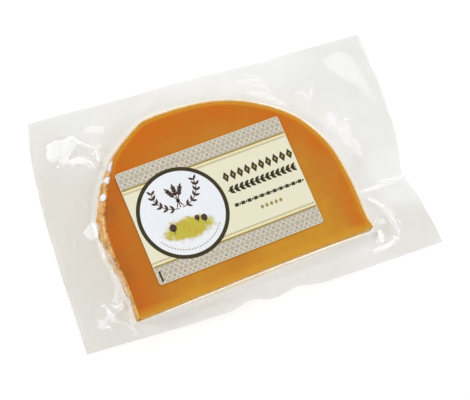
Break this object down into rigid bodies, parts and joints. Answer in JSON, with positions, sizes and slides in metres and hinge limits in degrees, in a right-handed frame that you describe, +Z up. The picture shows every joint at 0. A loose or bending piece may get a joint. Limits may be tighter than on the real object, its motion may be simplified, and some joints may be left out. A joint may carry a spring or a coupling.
{
  "type": "vacuum-packed half slice of young mimolette cheese",
  "caption": "Half slice of orange hard cheese with its rind round an arch and a straight cut, sealed flat in a clear vacuum pouch with a thin wavy margin and a paper label on top.",
  "frame": {"origin": "under the middle of the pouch, on the surface that it lies on", "axes": "+X along the pouch's long side, towards the wide end of its margin; +Y towards the arch of the slice; +Z up through the label"},
  "size_m": [0.2251, 0.141, 0.0142],
  "materials": {
    "film": "clear glossy vacuum film",
    "cheese": "dense orange paste under film",
    "rind": "dry pitted natural rind",
    "label_paper": "satin coated paper",
    "label_print": "satin printed paper"
  },
  "bodies": {
    "root": {"pouch": "film", "label": "label_paper"}
  },
  "joints": []
}
